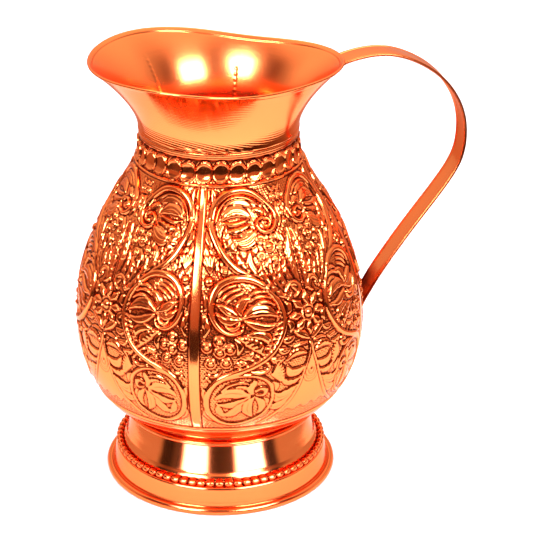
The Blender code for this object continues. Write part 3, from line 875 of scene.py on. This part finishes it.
def strap_line():
    """The strap's middle line: its tab on the lip, its sweep, and its tab on the belly."""
    tab = []
    for t in (0.62, 0.74, 0.86, 0.96):
        (r, z), (r1, z1) = flare(np.pi, t), flare(np.pi, t + 0.02)
        long = math.hypot(r1 - r, z1 - z)
        tab.append((r + 0.8 * (z1 - z) / long, z - 0.8 * (r1 - r) / long))
    body = spline(BODY_LINE, 20)
    foot = [(max(70.0, np.interp(-h, -body[:, 1], body[:, 0])) + 0.8, h) for h in (81.0, 74.0, 67.5)]
    return resample(spline(tab + HANDLE_LINE + foot, 16), 0.8)


def rounded_end(place, start):
    """A rounded edge: 1 up to start, falling to 0 at 1. Its square root is the share of full thickness."""
    return 1 - ((place - start) / (1 - start)).clip(0, 1) ** 2


def make_handle(material):
    """A flat strap whose long edges are folded over; its two tabs are dished to the lip and the belly."""
    line = strap_line()
    normal = line_normals(line)
    place = np.linspace(0, 1, len(line))[:, None]
    fold = np.linspace(STRAP_HEM, 1, 7)
    across = np.concatenate([-fold[::-1], np.linspace(-0.7, 0.7, 15), fold])
    off = np.abs(across)
    half = STRAP_SHEET / 2 + FOLD_THICK * smoothstep((off - STRAP_HEM) / 0.06)
    half = half - 0.12 * peak(off - STRAP_HEM + 0.02, 0.03)
    half = half * np.sqrt(rounded_end(off, 0.93).clip(0.05, 1))
    share = np.concatenate([across, across[::-1]])[None, :]
    top, low = smoothstep((0.10 - place) / 0.05), smoothstep((place - 0.90) / 0.05)
    crown = 0.22 * (1 - share**2) * (1 - top) * (1 - low)
    dish = (share * STRAP_HALF) ** 2 / 2 * (top / LIP_DISH + low / BELLY_DISH)
    ends = np.sqrt(rounded_end(np.abs(place - 0.5) + 0.5, 0.988).clip(0.02, 1))
    out = np.concatenate([half, -half[::-1]])[None, :] * ends + crown
    x = line[:, :1] + normal[:, :1] * out - dish
    y = share * STRAP_HALF * (0.9 + 0.1 * ends)
    z = line[:, 1:] + normal[:, 1:] * out
    strap = grid_object("strap_handle", np.stack([x, y, z], -1), capped=True)
    # Painted shade along the strap's edges, and painted shadow towards its tab on the belly, stronger on
    # one side.
    edge = 0.75 * smoothstep((np.abs(share) - 0.93) / 0.05)
    painted_shadow_low = smoothstep((place - PAINTED_SHADOW_FROM) / 0.06) * (0.85 + 0.5 * share)
    point_attribute(strap, "patina_and_painted_shade", np.clip(edge + painted_shadow_low, 0.0, 1.0))
    finish_piece(strap, material, ["handle_strap"])


# ---------- materials

BRIGHT = (0.95, 0.215, 0.055)  # polished copper
FOOT_BRIGHT = (0.9, 0.175, 0.042)
BARE = (0.84, 0.28, 0.09)
DEEP = (0.14, 0.009, 0.0015)  # the patina in the chased hollows, and the painted shade and shadow there
BRAZE = (0.78, 0.55, 0.30)
# The filler at the handle's joints is coloured near black as painted shadow.
PAINTED_SHADOW_BRAZE = (0.10, 0.05, 0.035)
EDGE_TINT = (1.0, 0.74, 0.62)  # copper keeps its colour when seen from the side
HAZE = 0.1  # how much rougher the brushed inside of the neck is


class Nodes:
    """A short way to write the node graph of a material or a world."""

    def __init__(self, tree):
        self.tree = tree

    def put(self, value, socket):
        if isinstance(value, bpy.types.NodeSocket):
            self.tree.links.new(value, socket)
        else:
            socket.default_value = value

    def add(self, kind, **sockets):
        node = self.tree.nodes.new(kind)
        for name, value in sockets.items():
            self.put(value, node.inputs[name.replace("_", " ")])
        return node

    def math(self, operation, *values):
        node = self.add("ShaderNodeMath")
        node.operation = operation
        for value, socket in zip(values, node.inputs):
            self.put(value, socket)
        return node.outputs[0]

    def mix(self, share, first, second):
        node = self.add("ShaderNodeMix")
        node.data_type = "RGBA"
        for value, number in ((share, 0), (first, 6), (second, 7)):
            self.put(value, node.inputs[number])
        return node.outputs[2]

    def noise(self, vector, scale, detail=2.0, rough=0.5):
        node = self.add("ShaderNodeTexNoise", Vector=vector, Scale=scale, Detail=detail, Roughness=rough)
        return node.outputs[0]

    def bump(self, height, strength, distance, **normal):
        node = self.add("ShaderNodeBump", Height=height, Strength=strength, Distance=distance, **normal)
        return node.outputs[0]

    def attribute(self, name):
        node = self.add("ShaderNodeAttribute")
        node.attribute_name = name
        return node.outputs["Fac"]

    def place(self):
        return self.add("ShaderNodeTexCoord").outputs["Object"]

    def from_axis(self, place):
        """A place's x and y from the jug's axis, and its height."""
        x, y, z = self.add("ShaderNodeSeparateXYZ", Vector=place).outputs
        return self.math("SUBTRACT", x, float(AXIS[0])), self.math("SUBTRACT", y, float(AXIS[1])), z


def new_material(name):
    """A new material, its node graph, and its shader's sockets."""
    material = bpy.data.materials.new(name)
    material.use_nodes = True
    return material, Nodes(material.node_tree), material.node_tree.nodes["Principled BSDF"].inputs


def copper(name, bright, rough, grain="none", shows_patina_and_painted_shade=False, hazy=False, grain_depth=0.00002):
    """Copper with its own tone drift, fine scratches, and the lines its making left: spun, drawn or none.
    Where it carries patina and painted shade it's darker, redder and duller, and where it's hazy it's
    brushed dull."""
    material, n, shader = new_material(name)
    place = n.place()
    drift = n.noise(place, 38.0, 3.0)
    toned = [0.93 * clean + 0.07 * dark for clean, dark in zip(bright, DEEP)]
    colour = n.mix(n.math("MULTIPLY_ADD", drift, 0.9, -0.2), (*bright, 1), (*toned, 1))
    roughness = n.math("MULTIPLY_ADD", n.noise(place, 9.0), 0.08, rough - 0.04)
    if shows_patina_and_painted_shade:
        # Patina, painted shade and painted shadow darken the colour here, towards DEEP.
        patchy = n.math("MULTIPLY_ADD", drift, 0.5, 0.8)
        share = n.math("MINIMUM", n.math("MULTIPLY", n.attribute("patina_and_painted_shade"), patchy), 1.0)
        colour = n.mix(share, colour, (*DEEP, 1))
        roughness = n.math("MULTIPLY_ADD", share, 0.12, roughness)
    if hazy:
        roughness = n.math("MULTIPLY_ADD", n.attribute("haze"), HAZE, roughness)
    x, y, z = n.from_axis(place)
    if grain == "spun":
        radius = n.math("SQRT", n.math("ADD", n.math("MULTIPLY", x, x), n.math("MULTIPLY", y, y)))
        turned_at = n.add("ShaderNodeCombineXYZ", X=radius, Y=z, Z=n.math("MULTIPLY", x, 0.02)).outputs[0]
        normal = n.bump(n.noise(turned_at, 1500.0, 3.0, 0.6), 0.35, grain_depth)
        normal = n.bump(n.noise(turned_at, 260.0), 0.35, grain_depth * 4, Normal=normal)
    elif grain == "drawn":
        slow_x, slow_z = n.math("MULTIPLY", x, 0.03), n.math("MULTIPLY", z, 0.03)
        along = n.add("ShaderNodeCombineXYZ", X=slow_x, Y=y, Z=slow_z).outputs[0]
        normal = n.bump(n.noise(along, 1800.0, 3.0, 0.6), 0.3, grain_depth)
    else:
        normal = n.bump(n.noise(place, 900.0, 3.0, 0.6), 0.25, grain_depth)
    shader["Metallic"].default_value = 1.0
    shader["Specular Tint"].default_value = (*EDGE_TINT, 1)
    n.put(colour, shader["Base Color"])
    n.put(roughness, shader["Roughness"])
    n.put(n.bump(n.noise(place, 45.0, 1.0), 0.35, 0.0004, Normal=normal), shader["Normal"])
    return material


def filler(name, colour):
    """Brazing filler: a mottled, slightly rough bead of metal."""
    material, n, shader = new_material(name)
    place = n.place()
    shader["Metallic"].default_value = 1.0
    darker = [c * 0.5 for c in colour]
    n.put(n.mix(n.noise(place, 300.0, 3.0), (*colour, 1), (*darker, 1)), shader["Base Color"])
    n.put(n.math("MULTIPLY_ADD", n.noise(place, 500.0), 0.2, 0.28), shader["Roughness"])
    n.put(n.bump(n.noise(place, 700.0), 0.6, 0.0002), shader["Normal"])
    return material


# ---------- studio
# Lengths here are in metres. Turns are in degrees round the jug from the camera's side, right is +.

VIEW_TURN = -13.3  # the camera stands a little to the spout's side of the jug's front
FRONT = math.radians(-90.0 + VIEW_TURN)
CAMERA_ASIDE, CAMERA_BACK, CAMERA_UP = 0.0247, 0.922, 0.5231  # from the jug's axis and the floor
CAMERA_TILT, CAMERA_ROLL, LENS = 24.36, 0.29, 137.8
AIM_HEIGHT = 0.11  # where the softboxes point
COOL_WHITE = (0.94, 1.0, 1.25)  # the flash heads are a little cooler than the room
STRONG_TINT = (0.8, 1.0, 2.0, 1)  # the cards are cooler still where they glow strongly
ROOM_GLOW = 1.4
FLOOR_RADIUS = 6.0
FAR_FLAG = (0.31, 5.0)  # radii of the dark ring that mirrors see on the floor
FOOT_CARD = 0.068  # radius of the low hoop that only the foot mirrors

# Each list is (turn, strength).
FLAG_GLOW = ((-180, 0.75), (-125, 0.7), (-85, 0.3), (-45, 0.06), (50, 0.06), (100, 0.3), (135, 0.7),
             (180, 0.75))
FOOT_GLOW = ((-180, 0.75), (-92, 0.8), (-53, 0.8), (-48, 0.05), (-40, 0.04), (-36, 0.15), (-30, 0.05),
             (-27.5, 14), (-10, 14), (-8, 0.15), (0, 0.06), (7, 0.12), (12, 0.06), (15, 14), (36, 14),
             (38, 0.05), (47, 0.05), (52, 0.8), (92, 0.75), (180, 0.75))
ROOM_SIDES = ((-180, 1.0), (-110, 1.0), (-70, 0.0), (75, 0.0), (115, 1.0), (180, 1.0))
# Each list is (degrees above the horizon, brightness, warmth).
ROOM_FRONT = ((0, 0.4, 1), (15, 0.4, 1), (21, 0.15, 1), (34, 0.15, 1), (41, 0.6, 0.5), (50, 1.0, 0),
              (90, 1.0, 0))
ROOM_AROUND = ((0, 0.58, 0.2), (15, 0.72, 0.2), (32, 1.0, 0), (90, 1.0, 0))


def make_camera():
    data = bpy.data.cameras.new("camera")
    data.lens = LENS
    data.sensor_width = 36.0
    data.clip_end = 50.0
    camera = new_object("camera", data)
    turn = Matrix.Rotation(math.radians(VIEW_TURN), 4, "Z")
    camera.matrix_world = (
        Matrix.Translation(Vector(AXIS) + turn @ Vector((CAMERA_ASIDE, -CAMERA_BACK, CAMERA_UP))) @ turn
        @ Matrix.Rotation(math.radians(90.0 - CAMERA_TILT), 4, "X")
        @ Matrix.Rotation(math.radians(CAMERA_ROLL), 4, "Z")
    )
    bpy.context.scene.camera = camera


def softbox(name, turn, distance, height, width, tall, power, colour=COOL_WHITE):
    data = bpy.data.lights.new(name, "AREA")
    data.shape = "RECTANGLE"
    data.size, data.size_y = width, tall
    data.energy = power
    data.color = colour
    light = new_object(name, data)
    way = FRONT + math.radians(turn)
    light.location = Vector(AXIS) + Vector((distance * math.cos(way), distance * math.sin(way), height))
    aim = Vector(AXIS) + Vector((0, 0, AIM_HEIGHT)) - light.location
    light.rotation_euler = aim.to_track_quat("-Z", "Y").to_euler()


def staged_ring(name, start, end, material, steps=96):
    """A strip round the jug, from one (radius, height) to another."""
    angle = full_turn(steps)
    points = np.concatenate([round_axis(*start, angle), round_axis(*end, angle)]) + AXIS
    faces = [(i, (i + 1) % steps, steps + (i + 1) % steps, steps + i) for i in range(steps)]
    mesh = bpy.data.meshes.new(name)
    mesh.from_pydata([tuple(p) for p in points], [], faces)
    mesh.materials.append(material)
    piece = new_object(name, mesh)
    return piece


def only_reflected(piece):
    """A card that only mirrors see, as a flag beside a camera."""
    piece.visible_camera = False
    piece.visible_diffuse = False
    piece.visible_shadow = False
    piece.visible_transmission = False


def ramp(n, value, stops):
    """Colours along a value: stops are (value, red, green, blue)."""
    node = n.add("ShaderNodeValToRGB", Fac=value)
    elements = node.color_ramp.elements
    while len(elements) < len(stops):
        elements.new(0.5)
    for element, (position, *colour) in zip(elements, stops):
        element.position = position
        element.color = (*colour, 1)
    return node.outputs[0]


def by_turn(n, x, y, stops):
    """A strength that changes with the turn."""
    ahead = n.math("ADD", n.math("MULTIPLY", x, math.cos(FRONT)), n.math("MULTIPLY", y, math.sin(FRONT)))
    beside = n.math("ADD", n.math("MULTIPLY", x, -math.sin(FRONT)), n.math("MULTIPLY", y, math.cos(FRONT)))
    share = n.math("MULTIPLY_ADD", n.math("ARCTAN2", beside, ahead), 0.5 / math.pi, 0.5)
    top = max(value for _, value in stops)
    shades = [(degrees / 360.0 + 0.5, *[value / top] * 3) for degrees, value in stops]
    return n.math("MULTIPLY", ramp(n, share, shades), top)


def glow_round(name, stops, colour=(1.0, 1.0, 1.0)):
    """A glow whose strength changes with the turn, and that is cooler where it's strong."""
    material, n, _ = new_material(name)
    n.tree.nodes.clear()
    x, y, _ = n.from_axis(n.place())
    strength = by_turn(n, x, y, stops)
    strong = n.add("ShaderNodeMapRange", Value=strength, From_Min=1.0, From_Max=5.0).outputs[0]
    glow = n.add("ShaderNodeEmission", Color=n.mix(strong, (*colour, 1), STRONG_TINT), Strength=strength)
    n.add("ShaderNodeOutputMaterial", Surface=glow.outputs[0])
    return material


def make_floor():
    material, _, shader = new_material("pale_floor")
    shader["Base Color"].default_value = (0.84, 0.84, 0.84, 1)
    shader["Roughness"].default_value = 0.9
    shader["Specular IOR Level"].default_value = 0.1
    staged_ring("floor", (0.0, 0.0), (FLOOR_RADIUS, 0.0), material)
    near, far = FAR_FLAG
    flag_glow = glow_round("flag_glow", FLAG_GLOW, (1.0, 0.6, 0.45))
    only_reflected(staged_ring("far_flag", (near, 0.0012), (far, 0.0012), flag_glow))
    foot_glow = glow_round("foot_glow", FOOT_GLOW)
    only_reflected(staged_ring("foot_card", (FOOT_CARD, 0.0135), (FOOT_CARD, 0.027), foot_glow))


def make_world():
    """A pale room. Mirrors see it darker at eye level in front, where the camera stands."""
    world = bpy.data.worlds.new("studio")
    world.use_nodes = True
    n = Nodes(world.node_tree)
    n.tree.nodes.clear()
    place = n.add("ShaderNodeTexCoord").outputs["Generated"]
    x, y, up = n.add("ShaderNodeSeparateXYZ", Vector=place).outputs

    def by_height(stops):
        return ramp(n, up, [(math.sin(math.radians(degrees)), value, value * (1 - 0.5 * warm),
                             value * (1 - 0.65 * warm)) for degrees, value, warm in stops])

    room = n.mix(by_turn(n, x, y, ROOM_SIDES), by_height(ROOM_FRONT), by_height(ROOM_AROUND))
    mirrored = n.add("ShaderNodeBackground", Color=room, Strength=ROOM_GLOW)
    seen = n.add("ShaderNodeBackground", Color=(1.0, 1.0, 1.0, 1))
    choice = n.add("ShaderNodeMixShader", Fac=n.add("ShaderNodeLightPath").outputs["Is Camera Ray"])
    n.put(mirrored.outputs[0], choice.inputs[1])
    n.put(seen.outputs[0], choice.inputs[2])
    n.add("ShaderNodeOutputWorld", Surface=choice.outputs[0])
    bpy.context.scene.world = world


def make_studio():
    make_world()
    make_floor()
    softbox("left_softbox", -29.5, 0.95, 0.54, 0.35, 0.27, 13.5)
    softbox("right_softbox", 34.0, 0.95, 0.69, 0.58, 0.33, 19.5)
    softbox("top_softbox", 180.0, 0.35, 1.3, 1.1, 1.1, 10.0, (1.0, 1.0, 1.0))


# ---------- the jug

make_camera()
bpy.context.scene.view_settings.view_transform = "Standard"
make_studio()

embossed = copper("embossed_copper", BRIGHT, 0.14, shows_patina_and_painted_shade=True)
polished = copper("polished_copper", BRIGHT, 0.12, grain="spun", hazy=True)
strap_metal = copper("strap_copper", BRIGHT, 0.16, grain="drawn", shows_patina_and_painted_shade=True)
foot_metal = copper("foot_copper", FOOT_BRIGHT, 0.15, grain="spun", grain_depth=0.00003)
bead_metal = copper("bead_copper", FOOT_BRIGHT, 0.13, shows_patina_and_painted_shade=True)
bare_metal = copper("bare_copper", BARE, 0.3, grain="spun")
braze_metal = filler("brazing_filler", BRAZE)
painted_shadow_filler = filler("braze_painted_shadow", PAINTED_SHADOW_BRAZE)

make_body(embossed)
make_neck(polished)
make_waist_ring(foot_metal)
make_foot(foot_metal)
make_beads(bead_metal)
make_base(foot_metal)
make_bottom(bare_metal)
make_handle(strap_metal)
# The handle's joints take the near-black filler, a painted shadow.
for node, metal in (("collar_braze_ring", braze_metal), ("foot_braze_ring", braze_metal),
                    ("base_rim_wire", bare_metal), ("handle_top_braze", painted_shadow_filler),
                    ("handle_bottom_braze", painted_shadow_filler)):
    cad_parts[node].data.materials.clear()
    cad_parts[node].data.materials.append(metal)

bpy.context.view_layer.update()
